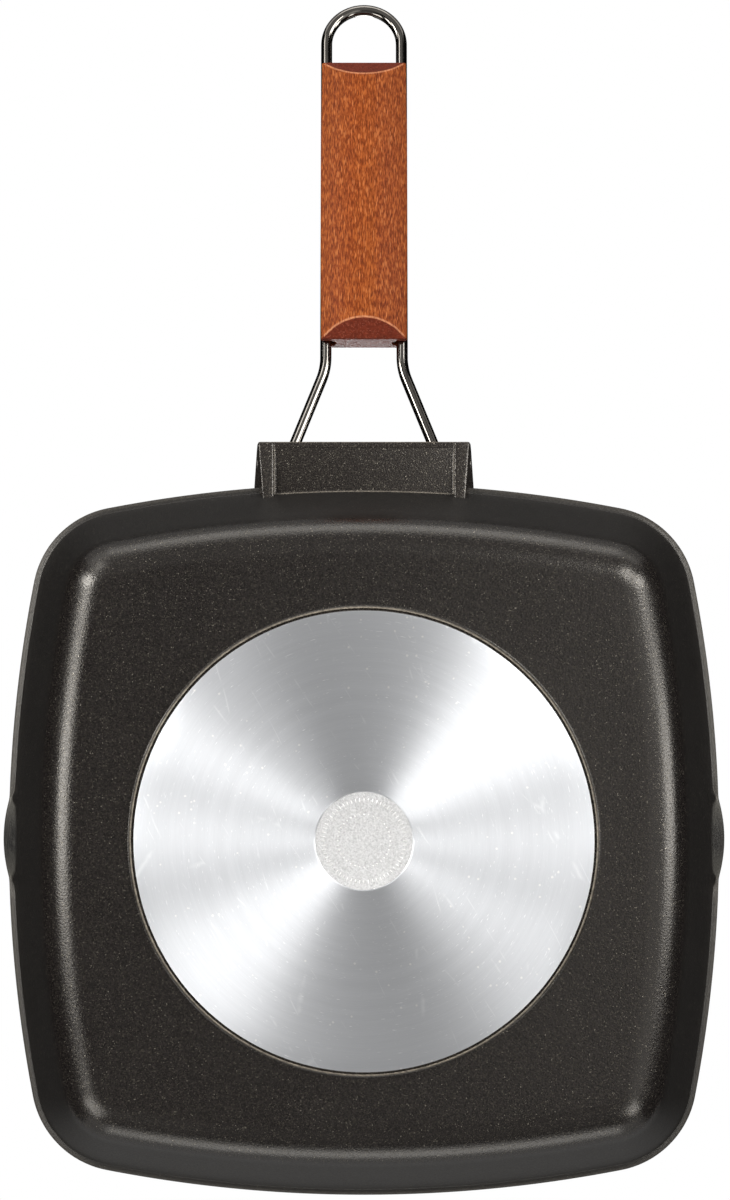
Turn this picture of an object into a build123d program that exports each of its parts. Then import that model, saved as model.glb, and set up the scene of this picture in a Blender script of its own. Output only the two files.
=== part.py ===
from build123d import *
import os
from math import cos, radians, sqrt, tan

# Square grill pan with a folding wire and wood handle, in millimetres.
# The origin is the centre of the turned base disc's face, +Z points up to the cooking side and +Y along
# the open handle. The casting carries the ribs, the two pouring spouts and the handle lug. The handle is
# one bent wire with a wood grip, and it folds about the wire's two ends, over the pan.

# Pan casting, measured on its outside
rim_half_width = 130.0  # centre to the middle of a side, over the rim bead
rim_side_radius = 495.0  # the sides bulge along this arc
rim_corner_radius = 34.0
rim_height = 42.0
wall_lean = 22.0  # degrees from upright
wall_thickness = 3.2
bead_width = 1.5
bead_height = 2.6
bead_bevel = 0.7
mouth_rounding = 1.1
outer_base_rounding = 16.0
inner_base_rounding = 10.0

# Base: a low boss with a seat for the disc
base_height = 1.6  # the casting's underside, outside the boss
floor_height = 6.4  # the cooking floor, between the ribs
boss_face_height = 0.3
boss_lip_width = 0.35
boss_slope_width = 1.0
disc_radius = 83.0
disc_thickness = 2.3
disc_edge_chamfer = 0.3
disc_clearance = 0.1
stamp_radius = 17.7
stamp_depth = 0.5

# Cooking ribs
rib_count = 17
rib_pitch = 11.2
rib_height = 4.6
rib_foot_width = 5.6
rib_top_width = 3.2
rib_top_rounding = 1.1
rib_end_lean = 35.0  # degrees from upright
channel_width = 11.5  # drip channel between the rib ends and the wall
rib_field_corner_radius = 12.0  # of the line round all the rib ends

# Pouring spouts, one on each side
spout_lean = 49.0  # degrees from upright
spout_radius = 50.0
spout_reach = 2.1  # how far the lip stands out past the rim bead
spout_wall = 2.4

# Handle wire
wire_diameter = 4.2
grip_leg_spread = 14.15  # centreline of each leg beside the grip, from the middle
hinge_leg_spread = 28.2  # where the leg's line would meet the hinge axis
leg_bend_distance = 36.5
leg_bend_radius = 25.0
hinge_bend_radius = 5.0
handle_reach = 183.2  # hinge axis to the far end of the loop
handle_rise = 15.0  # degrees above level when open
wire_end_chamfer = 0.5

# Wood grip
grip_near_distance = 46.6
grip_length = 111.0
grip_width = 31.6
grip_side_bulge = 0.35
grip_thickness = 21.0
grip_side_height = 10.0
grip_end_slope = 6.8
grip_edge_rounding = 0.7
groove_floor = 10.6  # groove bottom, from the middle
groove_clearance = 0.2

# Handle lug on the rim
hinge_distance = 8.0  # outside the rim bead
hinge_above_rim = 3.5
hinge_clearance = 0.07
lug_reach = 15.2
lug_rim_half_width = 41.0
lug_tip_half_width = 39.4
lug_foot_inset = 0.9  # how much narrower the cheeks are at their foot, at the tip
lug_foot_inset_at_rim = 4.2
cheek_foot_depth = 7.0  # below the rim
cheek_inner_spread = 34.0
cheek_above_hinge = 4.6
cheek_nose_rounding = 3.0
lug_floor_top = 0.6  # below the rim
lug_floor_thickness = 3.0
lug_front_wall = 2.6
front_wall_notch = 1.2
saddle_clearance = 0.25
gusset_inner_width = 5.8
gusset_foot_narrowing = 0.6
gusset_tip_depth = 0.4  # below the floor's underside, at the tip
cheek_back_inset = 3.5  # the cheeks stand this far back on the rim
lug_tip_bevel = 0.8

# Worked out from the sizes above
lean = tan(radians(wall_lean))
wall_across = wall_thickness / cos(radians(wall_lean))
wire_radius = wire_diameter / 2
hinge_y = rim_half_width + hinge_distance
hinge_z = rim_height + hinge_above_rim
lug_tip_y = rim_half_width + lug_reach
lug_foot_z = rim_height - cheek_foot_depth
lug_top_z = hinge_z + cheek_above_hinge
lug_floor_z = rim_height - lug_floor_top
lug_under_z = lug_floor_z - lug_floor_thickness
rim_sag_at_lug = lug_rim_half_width**2 / (2 * rim_side_radius)
lug_root_y = rim_half_width - bead_width - cheek_foot_depth * lean - rim_sag_at_lug - wall_across / 2
boss_radius = disc_radius + disc_clearance + boss_lip_width
cut_margin = 5.0  # how far cutters run past what they cut
cut_reach = 2 * lug_reach + 2 * rim_half_width  # longer than any piece that is cut right through


def outline(inset, height, corner_radius=None):
    """The pan's bulged square at one height, taken in from the rim bead by the inset."""
    if corner_radius is None:
        corner_radius = rim_corner_radius - inset
    half_width = rim_half_width - inset
    side_radius = rim_side_radius - inset
    shift = side_radius - half_width
    sides = [Pos(x, y) * Circle(side_radius) for x, y in ((shift, 0), (-shift, 0), (0, shift), (0, -shift))]
    shape = sides[0] & sides[1] & sides[2] & sides[3]
    return Pos(0, 0, height) * fillet(shape.vertices(), corner_radius)


def leaning_block(inset_at_rim, foot_height, top_height, foot_rounding):
    """A solid that widens upwards with the wall's lean, rounded round its foot."""
    foot = outline(inset_at_rim + (rim_height - foot_height) * lean, foot_height)
    block = extrude(foot, top_height - foot_height, taper=-wall_lean)
    return fillet(block.faces().sort_by(Axis.Z)[0].edges(), foot_rounding)


def spout_scoop(side, wall):
    """The leaning cylinder a spout is formed on; its skin passes the lip, and lies inside it by the wall."""
    lip_x = rim_half_width + spout_reach
    axis_x = lip_x - spout_radius / cos(radians(spout_lean))
    axis = Pos(side * axis_x, 0, rim_height) * Rot(0, side * spout_lean, 0)
    return axis * Cylinder(spout_radius - wall, cut_reach)


def spout_block(side):
    """A block that holds one whole spout, from the rim down to where the scoop has sunk into the wall."""
    depth = (spout_reach + bead_width) / (tan(radians(spout_lean)) - lean) + bead_height
    reach = rim_half_width + spout_reach + cut_margin
    return Pos(side * reach / 2, 0, rim_height - depth / 2) * Box(reach, 2 * spout_radius, depth)


def spout_outside(side):
    """The spout's outer skin, which swells out of the wall up to the lip."""
    return spout_scoop(side, 0) & spout_block(side)


def spout_bead_gap(side):
    """The stretch of rim bead that would stand out past the spout's skin."""
    bulge = 1 / (1 / spout_radius - 1 / rim_side_radius)
    lip_half_length = sqrt(2 * bulge * spout_reach)
    stretch = Pos(side * rim_half_width, 0, rim_height - bead_height / 2) * Box(
        2 * cut_margin, 2 * lip_half_length, bead_height
    )
    return stretch - spout_scoop(side, 0)


def spout_groove(side):
    """The pouring groove inside the spout, open at the top."""
    opening = Pos(0, 0, cut_margin) * spout_block(side)
    return spout_scoop(side, spout_wall) & (spout_block(side) + opening)


def base_boss():
    """The low round boss under the base: a flat lip round the disc's seat, and a sloped side."""
    foot_radius = boss_radius + boss_slope_width
    section = Polyline(
        (0, base_height), (0, boss_face_height), (boss_radius, boss_face_height), (foot_radius, base_height), close=True
    )
    return revolve(Plane.XZ * make_face(section), Axis.Z)


def ribs():
    """Parallel cooking ribs, their ends sloped along the drip channel."""
    half_foot, half_top = rib_foot_width / 2, rib_top_width / 2
    section = make_face(
        Polyline((-half_foot, 0), (-half_top, rib_height), (half_top, rib_height), (half_foot, 0), close=True)
    )
    section = fillet(section.vertices().group_by(Axis.Y)[-1], rib_top_rounding)
    bar = extrude(Plane.XZ * section, rim_half_width, both=True)
    first = -(rib_count - 1) / 2 * rib_pitch
    bars = [Pos(first + i * rib_pitch, 0, floor_height) * bar for i in range(rib_count)]
    wall_inset = bead_width + wall_across + (rim_height - floor_height) * lean
    field = outline(wall_inset + channel_width, floor_height, rib_field_corner_radius)
    field = extrude(field, rib_height, taper=rib_end_lean)
    return [piece for bar in bars for piece in (bar & field).solids()]


def plan(points, height):
    """A closed flat outline at one height, mirrored to both sides of the middle."""
    both = points + [(-x, y) for x, y in reversed(points)]
    return Pos(0, 0, height) * make_face(Polyline(*both, close=True))


def lug_block():
    """The lug's outline, drafted: wider at the top, and wider at the rim than at the tip."""
    foot = plan(
        [(lug_tip_half_width - lug_foot_inset, lug_tip_y), (lug_rim_half_width - lug_foot_inset_at_rim, lug_root_y)],
        lug_foot_z,
    )
    top = plan([(lug_tip_half_width, lug_tip_y), (lug_rim_half_width, lug_root_y)], lug_top_z)
    return loft([foot, top])


def lug_side():
    """The lug seen along the hinge: a rising underside, an upright tip, and cheeks stepped onto the rim."""
    back_y = rim_half_width - cheek_back_inset
    step_z = rim_height - bead_height / 2
    side = Polyline(
        (lug_root_y, lug_foot_z),
        (lug_tip_y, lug_under_z - gusset_tip_depth),
        (lug_tip_y, lug_top_z),
        (back_y, lug_top_z),
        (back_y, step_z),
        (lug_root_y, step_z),
        close=True,
    )
    return extrude(Plane.YZ * make_face(side), cut_reach, both=True)


def lug_hollow():
    """The space between the cheeks, above the floor and behind the front wall."""
    front_y = lug_tip_y - lug_front_wall
    height = lug_top_z + cut_margin - lug_floor_z
    length = front_y - lug_root_y
    middle = Pos(0, (front_y + lug_root_y) / 2, lug_floor_z + height / 2)
    return middle * Box(2 * cheek_inner_spread, length, height)


def lug_front_gap():
    """What is cut off the front wall, which is lower than the cheeks."""
    front_top = leg_height_at(lug_tip_y - lug_front_wall / 2) - wire_radius + front_wall_notch
    height = lug_top_z + cut_margin - front_top
    middle = Pos(0, lug_tip_y, front_top + height / 2)
    return middle * Box(2 * cheek_inner_spread, 2 * (lug_front_wall + cut_margin), height)


def under_floor():
    """What is cut away below the lug's floor, between the two gussets."""
    inner_x = lug_tip_half_width - gusset_inner_width
    foot_z = lug_foot_z - cut_margin
    below = plan([(inner_x, lug_tip_y + cut_margin), (inner_x - gusset_foot_narrowing, lug_root_y)], foot_z)
    return extrude(below, lug_under_z - foot_z)


def leg_height_at(y):
    """Height of the open legs' centreline at one distance along the pan."""
    return hinge_z + (y - hinge_y) * tan(radians(handle_rise))


def leg_saddles():
    """Grooves in the front wall, open at the top, that the open legs come to rest in."""
    radius = wire_radius + saddle_clearance
    leg = handle_place() * Line((hinge_leg_spread, 0), (grip_leg_spread, leg_bend_distance))
    groove = sweep(Plane(origin=leg @ 0, z_dir=leg % 0) * Circle(radius), leg)
    groove += Pos(0, 0, radius) * groove
    return [groove, mirror(groove, Plane.YZ)]


def lug():
    """Handle lug: two bored cheeks on gussets, joined by a floor and a low front wall with two saddles."""
    body = (lug_block() & lug_side()) - lug_hollow() - lug_front_gap() - under_floor()
    body = fillet(body.edges().filter_by(Axis.X).group_by(Axis.Z)[-1], cheek_nose_rounding)
    body = chamfer(body.faces().sort_by(Axis.Y)[-1].edges(), lug_tip_bevel)
    bore = Rot(0, 90, 0) * Cylinder(wire_radius + hinge_clearance, cut_reach)
    body -= Pos(0, hinge_y, hinge_z) * bore
    for saddle in leg_saddles():
        body -= saddle
    return body


def cavity():
    """The inside of the pan, run on upwards past the lug's cheeks."""
    return leaning_block(bead_width + wall_across, floor_height, lug_top_z + cut_margin, inner_base_rounding)


def rim_bead():
    """The bead round the rim, broken where the spouts are."""
    bead = extrude(outline(0, rim_height - bead_height), bead_height)
    bead = chamfer(bead.faces().sort_by(Axis.Z)[0].edges(), bead_bevel)
    return bead - spout_bead_gap(-1) - spout_bead_gap(1)


def pan_walls():
    """The open box of the casting: floor, leaning walls, a rim bead and a rounded mouth."""
    shell = leaning_block(bead_width, base_height, rim_height, outer_base_rounding)
    walls = shell + rim_bead() - cavity()
    rim_face = walls.faces().filter_by(Axis.Z).sort_by(Axis.Z)[-1]
    return fillet(rim_face.inner_wires()[0].edges(), mouth_rounding)


def pan_body():
    """The casting: walls, base boss with the disc's seat, handle lug, spouts and ribs."""
    inside = cavity()
    body = pan_walls() + base_boss() + (lug() - inside)
    body -= Pos(0, 0, disc_thickness / 2) * Cylinder(disc_radius + disc_clearance, disc_thickness)
    for side in (-1, 1):
        body += spout_outside(side) - inside
        body -= spout_groove(side)
    for rib in ribs():
        body += rib
    return body


def base_disc():
    """The turned disc that the pan stands on, with a stamped round in its middle."""
    disc = Pos(0, 0, disc_thickness / 2) * Cylinder(disc_radius, disc_thickness)
    disc = chamfer(disc.faces().sort_by(Axis.Z)[0].edges(), disc_edge_chamfer)
    disc -= Pos(0, 0, stamp_depth / 2) * Cylinder(stamp_radius, stamp_depth)
    return disc


def handle_place():
    """Carries the handle's own flat frame, X across and Y along, to its open place on the pan."""
    return Pos(0, hinge_y, hinge_z) * Rot(handle_rise, 0, 0)


def handle_wire():
    """One wire: hinge end, bend, leg, loop, and the same back again."""
    end_x = lug_tip_half_width - lug_foot_inset / 2
    loop_y = handle_reach - wire_radius - grip_leg_spread
    right = FilletPolyline(
        (end_x, 0),
        (hinge_leg_spread, 0),
        (grip_leg_spread, leg_bend_distance),
        (grip_leg_spread, loop_y),
        radius=[hinge_bend_radius, leg_bend_radius],
    )
    loop = ThreePointArc((grip_leg_spread, loop_y), (0, loop_y + grip_leg_spread), (-grip_leg_spread, loop_y))
    left = mirror(right, Plane.YZ)
    path = Wire(right.edges() + loop.edges() + left.edges())
    section = Plane(origin=(end_x, 0, 0), z_dir=(-1, 0, 0)) * Circle(wire_radius)
    wire = sweep(section, path)
    tips = wire.faces().filter_by(GeomType.PLANE).edges()
    return handle_place() * chamfer(tips, wire_end_chamfer)


def grip_section():
    """The grip cut across: upright sides, and crowned faces above and below."""
    half_width = grip_width / 2 + grip_side_bulge
    half_side = grip_side_height / 2
    crown = grip_thickness / 2
    return make_face(
        [
            Line((-half_width, -half_side), (-half_width, half_side)),
            ThreePointArc((-half_width, half_side), (0, crown), (half_width, half_side)),
            Line((half_width, half_side), (half_width, -half_side)),
            ThreePointArc((half_width, -half_side), (0, -crown), (-half_width, -half_side)),
        ]
    )


def grip_plan():
    """The grip from above: square ends and sides that swell a little towards the middle."""
    half_width = grip_width / 2
    middle = grip_length / 2
    swell = half_width + grip_side_bulge
    outline_face = make_face(
        [
            Line((-half_width, 0), (half_width, 0)),
            ThreePointArc((half_width, 0), (swell, middle), (half_width, grip_length)),
            Line((half_width, grip_length), (-half_width, grip_length)),
            ThreePointArc((-half_width, grip_length), (-swell, middle), (-half_width, 0)),
        ]
    )
    return extrude(outline_face, grip_thickness, both=True)


def grip_side():
    """The grip from the side: a long bar with its ends sloped above and below the upright middle."""
    half_side = grip_side_height / 2
    crown = grip_thickness / 2
    near = [(grip_end_slope, -crown), (0, -half_side), (0, half_side), (grip_end_slope, crown)]
    far = [(grip_length - y, z) for y, z in reversed(near)]
    return extrude(Plane.YZ * make_face(Polyline(*near, *far, close=True)), grip_width, both=True)


def grip_slot():
    """The groove along one side, round at the bottom and open at the side, that the wire lies in."""
    radius = wire_radius + groove_clearance
    centre = groove_floor + radius
    opening = Pos(centre + grip_width / 2, 0) * Rectangle(grip_width, 2 * radius)
    section = Pos(centre, 0) * Circle(radius) + opening
    return extrude(Plane.XZ * section, -grip_length)


def handle_grip():
    """Crowned wood grip with sloped ends and a groove for the wire along each side."""
    grip = extrude(Plane.XZ * grip_section(), -grip_length) & grip_plan()
    ridges = grip.edges().filter_by_position(Axis.Y, grip_end_slope, grip_length - grip_end_slope)
    grip = fillet(ridges, grip_edge_rounding) & grip_side()
    slot = grip_slot()
    grip = grip - slot - mirror(slot, Plane.YZ)
    return handle_place() * Pos(0, grip_near_distance, 0) * grip


def write(name, shape):
    """Writes one sub-part under its name."""
    export_step(shape, f"parts/{name}.step")


os.makedirs("parts", exist_ok=True)
write("pan_body", pan_body())
write("base_disc", base_disc())
write("handle_wire", handle_wire())
write("handle_grip", handle_grip())
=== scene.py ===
from math import acos, atan2, copysign, cos, degrees, hypot, pi, radians, sin, sqrt, tan

import bmesh
import bpy
from mathutils import Matrix, Vector


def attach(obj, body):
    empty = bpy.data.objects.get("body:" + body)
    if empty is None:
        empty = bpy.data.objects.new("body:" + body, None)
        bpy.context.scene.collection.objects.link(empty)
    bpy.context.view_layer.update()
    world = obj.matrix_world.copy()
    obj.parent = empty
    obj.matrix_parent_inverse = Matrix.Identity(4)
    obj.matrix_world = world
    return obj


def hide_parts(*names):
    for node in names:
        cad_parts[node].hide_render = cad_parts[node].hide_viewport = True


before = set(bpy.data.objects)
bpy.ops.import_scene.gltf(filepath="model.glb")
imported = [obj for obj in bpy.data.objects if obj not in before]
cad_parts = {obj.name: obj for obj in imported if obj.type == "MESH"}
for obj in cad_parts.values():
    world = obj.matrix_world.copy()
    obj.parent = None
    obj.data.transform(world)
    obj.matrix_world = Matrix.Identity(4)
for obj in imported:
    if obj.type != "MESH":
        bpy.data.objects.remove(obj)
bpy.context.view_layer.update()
MM = 0.001

# Casting, in millimetres as all sizes here. The bead, the spouts' lips and the disc's edge follow the photograph.
rim_half = 130
rim_side_radius = 495
rim_corner_radius = 34
rim_height = 42
wall_lean = radians(22)
wall_thickness = 3.2
bead_width = 1.5
bead_height = 1.5
rim_edge_rounding = 0.3
mouth_rounding = 1.1
outer_rounding = 16
inner_rounding = 10
base_height = 1.6
floor_height = 6.4
boss_height = 0.3
boss_lip_width = 0.35
boss_lip_chamfer = (0.1, 0.08)  # inward, up
boss_slope_width = 1
disc_radius = 83
disc_thickness = 2.3
disc_edge_chamfer = 0.8
disc_clearance = 0.1
stamp_radius = 17.7
stamp_depth = 0.5

# Cooking ribs
rib_count = 17
rib_pitch = 11.2
rib_height = 4.6
rib_foot_width = 5.6
rib_top_width = 3.2
rib_top_rounding = 1.1
rib_sunk = 0.4  # how far the ribs' feet reach into the floor
rib_end_lean = radians(35)
rib_edge_rounding = 0.35
channel_width = 11.5
rib_corner_radius = 12

# Pouring spouts
spout_lean = radians(49)
spout_radius = 76
spout_reach = 1.95
spout_wall = 2.4
spout_blend = 0.35  # how softly a spout runs into the wall
spout_drop = 8.5  # how far below the rim a spout parts from the wall
bead_left_at_spout = 0.4  # share of the bead's height
bead_return = 8  # length over which the bead comes back
bead_narrowing = 0.5  # share of the bead's width that is gone at a lip's ends
bead_narrowing_length = 3.2

# Handle lug
hinge_distance = 8
hinge_above_rim = 3.5
hinge_clearance = 0.07
lug_reach = 15.2
lug_rim_half = 41
lug_tip_half = 39.4
lug_tip_inset = 0.9
lug_rim_inset = 4.2
lug_edge_rounding = 0.35
lug_overlap = 0.4  # how far the plates reach into the cheeks
cheek_foot_depth = 7
cheek_foot_rounding = 0.8
cheek_inner_spread = 34
cheek_above_hinge = 4.6
cheek_nose_rounding = 3
lug_floor_top = 0.6
lug_floor_thickness = 3
lug_front_wall = 2.6
front_wall_notch = 1.2
saddle_clearance = 0.25
gusset_inner_width = 6.3
gusset_tip_depth = 0.4
cheek_back_inset = 3.5
lug_hollow_radius = 1
hollow_sunk = 0.3  # how far a hollow rounding's back is buried

# Handle wire and grip
wire_radius = 2.1
grip_leg_spread = 14.15
hinge_leg_spread = 28.2
leg_bend_distance = 36.5
leg_bend_radius = 25
hinge_bend_radius = 5
straight_end_x = 36.5  # where the wire's straight ends have a point
handle_reach = 183.2
handle_rise = radians(15)
wire_end_chamfer = 0.5
grip_near_distance = 46.6
grip_length = 111
grip_width = 31.6
grip_side_bulge = 0.35
grip_thickness = 21
grip_side_height = 10
grip_end_slope = 6.8
groove_floor = 10.6
groove_clearance = 0.2
grip_edge_rounding = 0.55

# Points round and along the forms
spout_side_steps = 150
plain_side_steps = 60
corner_steps = 28
disc_steps = 256
wire_steps = 32
grip_steps = 12

lean = tan(wall_lean)
lean_degrees = degrees(wall_lean)
wall_across = wall_thickness / cos(wall_lean)
spout_part_z = rim_height - spout_drop
hinge_y = rim_half + hinge_distance
hinge_z = rim_height + hinge_above_rim
lug_tip_y = rim_half + lug_reach
lug_foot_z = rim_height - cheek_foot_depth
lug_top_z = hinge_z + cheek_above_hinge
lug_floor_z = rim_height - lug_floor_top
lug_under_z = lug_floor_z - lug_floor_thickness
lug_root_y = (rim_half - bead_width - cheek_foot_depth * lean
              - lug_rim_half**2 / (2 * rim_side_radius) - wall_across / 2)
gusset_inner_x = lug_tip_half - gusset_inner_width
spout_half = sqrt(2 * spout_reach / (1 / (spout_radius * cos(spout_lean)) - 1 / rim_side_radius))
grip_half_width = grip_width / 2 + grip_side_bulge
grip_half_side = grip_side_height / 2
grip_half = grip_thickness / 2
crown_rise = grip_half - grip_half_side


# Node building

class Out:
    """An output of a node. Sums and products of it are Math nodes; [name] is another output of the node."""

    def __init__(self, node, name=0):
        self.node, self.name, self.tree = node, name, node.id_data

    def __getitem__(self, name):
        return Out(self.node, name)

    def __add__(self, other):
        return calc("ADD", self, other)

    def __sub__(self, other):
        return calc("SUBTRACT", self, other)

    def __mul__(self, other):
        return calc("MULTIPLY", self, other)

    def __truediv__(self, other):
        return calc("DIVIDE", self, other)

    def __pow__(self, other):
        return calc("POWER", self, other)


def fill(node, inputs):
    """Links or sets a node's inputs."""
    for name, value in inputs.items():
        if isinstance(value, Out):
            node.id_data.links.new(value.node.outputs[value.name], node.inputs[name])
        else:
            node.inputs[name].default_value = value


def put(tree, kind, inputs=None, **settings):
    """Adds a node with settings and inputs, and gives its first output. A short kind is a shader node."""
    made = tree.nodes.new(kind if "Node" in kind else "ShaderNode" + kind)
    for name, value in settings.items():
        setattr(made, name, value)
    fill(made, inputs or {})
    return Out(made)


def calc(operation, *values):
    """One Math node, in the tree of its values."""
    tree = next(value.tree for value in values if isinstance(value, Out))
    return put(tree, "Math", dict(enumerate(values)), operation=operation)


def vector(operation, *values, **more):
    """One Vector Math node."""
    return put(values[0].tree, "VectorMath", {**dict(enumerate(values)), **more}, operation=operation)


def xyz(tree, **parts):
    """A vector of the parts x, y and z that are given."""
    return put(tree, "CombineXYZ", {name.upper(): value for name, value in parts.items()})


def parts_of(value):
    """The three parts of a vector, as [0], [1] and [2]."""
    return put(value.tree, "SeparateXYZ", {0: value})


def level_with_handle(value):
    """A place or direction, turned with the handle laid along Y."""
    return put(value.tree, "VectorRotate", {"Vector": value, "Angle": -handle_rise}, rotation_type="X_AXIS")


def stored(tree, name):
    """A share that is stored on the mesh."""
    return put(tree, "Attribute", attribute_name=name)["Fac"]


def fit(value, low, high, out_low=0, out_high=1):
    """Maps a value from one range to another, clamped."""
    return put(value.tree, "MapRange", {0: value, 1: low, 2: high, 3: out_low, 4: out_high})


def ramp(value, stops):
    """A colour ramp through (position, colour) stops."""
    made = put(value.tree, "ValToRGB", {0: value})
    elements = made.node.color_ramp.elements
    while len(elements) < len(stops):
        elements.new(0.5)
    for element, stop in zip(elements, stops):
        element.position, element.color = stop
    return made


def layered(base, *layers):
    """Colours laid over a base in turn, each by its share."""
    for share, colour in layers:
        base = put(share.tree, "Mix", {0: share, 6: base, 7: colour}, data_type="RGBA")[2]
    return base


def paint(red, green, blue):
    """A colour as seen, 0 to 255, in the values that materials use."""
    def plain(level):
        level /= 255
        return level / 12.92 if level <= 0.04045 else ((level + 0.055) / 1.055) ** 2.4
    return (plain(red), plain(green), plain(blue), 1)


def darker(colour, share):
    """The same colour at a share of its level."""
    return tuple(level * share for level in colour[:3]) + (1,)


# Effects that the finishes share

def effect(name, build, **values):
    """A shader group that takes a place and named values, and gives what build makes of them."""
    group = bpy.data.node_groups.new(name, "ShaderNodeTree")
    group.interface.new_socket("Place", in_out="INPUT", socket_type="NodeSocketVector")
    for socket, value in values.items():
        group.interface.new_socket(socket, in_out="INPUT", socket_type="NodeSocketFloat").default_value = value
    results = build(put(group, "NodeGroupInput"))
    for socket in results:
        group.interface.new_socket(socket, in_out="OUTPUT", socket_type="NodeSocketFloat")
    put(group, "NodeGroupOutput", results)
    return group


def scattered_flecks(given):
    """Small specks with clear edges: a mask, and each speck's own shade."""
    scale = calc("DIVIDE", 1, given["Across"])
    cells = put(given.tree, "TexVoronoi", {"Vector": given["Place"], "Scale": scale})
    chance = put(given.tree, "SeparateColor", {0: cells["Color"]})
    chosen = calc("LESS_THAN", chance, given["Share"])
    return {"Mask": chosen * fit(cells["Distance"], 0.28, 0.5, 1, 0), "Shade": chance[1]}


def soft_clouds(given):
    """Soft uneven patches, 0 to 1, of one size."""
    scale = calc("DIVIDE", 1, given["Across"])
    noise = put(given.tree, "TexNoise",
                {"Vector": given["Place"], "Scale": scale, "Detail": given["Detail"], "Roughness": 0.6})
    return {"Value": fit(noise, 0.25, 0.75)}


def handling_scratches(given):
    """Short thin scratches in scattered directions."""
    tree, place = given.tree, given["Place"]
    turned = put(tree, "VectorRotate", {"Vector": place, "Angle": given["Turn"]}, rotation_type="Z_AXIS")
    bend = put(tree, "TexNoise", {"Vector": turned, "Scale": 0.03, "Detail": 1})
    pulled = vector("MULTIPLY_ADD", bend["Color"], (6, 0, 0), turned)
    cells = put(tree, "TexVoronoi",
                {"Vector": vector("MULTIPLY", pulled, (1, 0.12, 1)),
                 "Scale": calc("DIVIDE", 1, given["Spacing"])}, feature="DISTANCE_TO_EDGE")
    gaps = put(tree, "TexNoise", {"Vector": place, "Scale": 0.11, "Detail": 2})
    return {"Mask": fit(cells["Distance"], 0, 0.012, 1, 0) * fit(gaps, 0.52, 0.62)}


def lathe_rings(given):
    """Fine streaks round the Z axis, as a lathe leaves them, and broader rings."""
    flat = vector("MULTIPLY", given["Place"], (1, 1, 0))
    turns = vector("LENGTH", flat)["Value"] / given["Pitch"]
    along = vector("SCALE", vector("NORMALIZE", flat), Scale=given["Streaks"])
    fine = put(given.tree, "TexNoise",
               {"Vector": vector("ADD", along, xyz(given.tree, z=turns)), "Scale": 1, "Detail": 2})
    broad = put(given.tree, "TexNoise", {"W": turns, "Scale": 0.09, "Detail": 2}, noise_dimensions="1D")
    return {"Fine": fit(fine, 0.2, 0.8), "Broad": fit(broad, 0.3, 0.7)}


flecks = effect("Scattered flecks", scattered_flecks, Across=0.5, Share=0.1)
clouds = effect("Soft clouds", soft_clouds, Across=20, Detail=3)
scratches = effect("Handling scratches", handling_scratches, Turn=0.4, Spacing=9)
turned_rings = effect("Turned rings", lathe_rings, Pitch=0.3, Streaks=7)


def use_effect(group, place, **values):
    """An effect in a material, at a place in millimetres."""
    return put(place.tree, "Group", {"Place": place, **values}, node_tree=group)


def cloud(place, across, detail=3):
    """Soft patches of one size in millimetres."""
    return use_effect(clouds, place, Across=across, Detail=detail)


def specks(place, across, share):
    """Specks of one size in millimetres, in a share of the places where one could be."""
    return use_effect(flecks, place, Across=across, Share=share)


# Finishes

def cleared_tree(holder):
    """The node tree of a material or world, empty."""
    holder.use_nodes = True
    holder.node_tree.nodes.clear()
    return holder.node_tree


def surfaced(name, surface):
    """A material with the surface built in its tree."""
    made = bpy.data.materials.new(name)
    tree = cleared_tree(made)
    put(tree, "OutputMaterial", {0: surface(tree)})
    return made


def finish(name, look, *values):
    """A material with what a look gives its shader for a place in millimetres; underscores are spaces."""
    def surface(tree):
        place = vector("SCALE", put(tree, "TexCoord")["Object"], Scale=1 / MM)
        given = look(place, *values)
        return put(tree, "BsdfPrincipled", {socket.replace("_", " "): value for socket, value in given.items()})
    return surfaced(name, surface)


def relief(height, depth):
    """A Bump node over a height, its depth in millimetres."""
    return put(height.tree, "Bump", {"Height": height, "Distance": depth * MM, "Strength": 1})


def ground_lip(place):
    """The spouts' ground lips: a mask, and greys with faint strokes, darkest in the middle and paler to the ends as
    painted shade and painted highlight.
    """
    stroke = cloud(vector("MULTIPLY", place, (1.6, 0.14, 1.6)), 0.5)
    to_end = calc("ABSOLUTE", parts_of(place)[1])
    # Dark in the middle, paler to the ends: painted shade and painted highlight, where the lip turns to the lamps.
    painted_light_grey = layered(paint(11, 11, 12), (fit(to_end, 3, 14), paint(66, 64, 59)),
                   (fit(stroke, 0.5, 0.9, 0, 0.6), paint(72, 70, 65)))
    return stored(place.tree, "lip"), painted_light_grey


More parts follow.
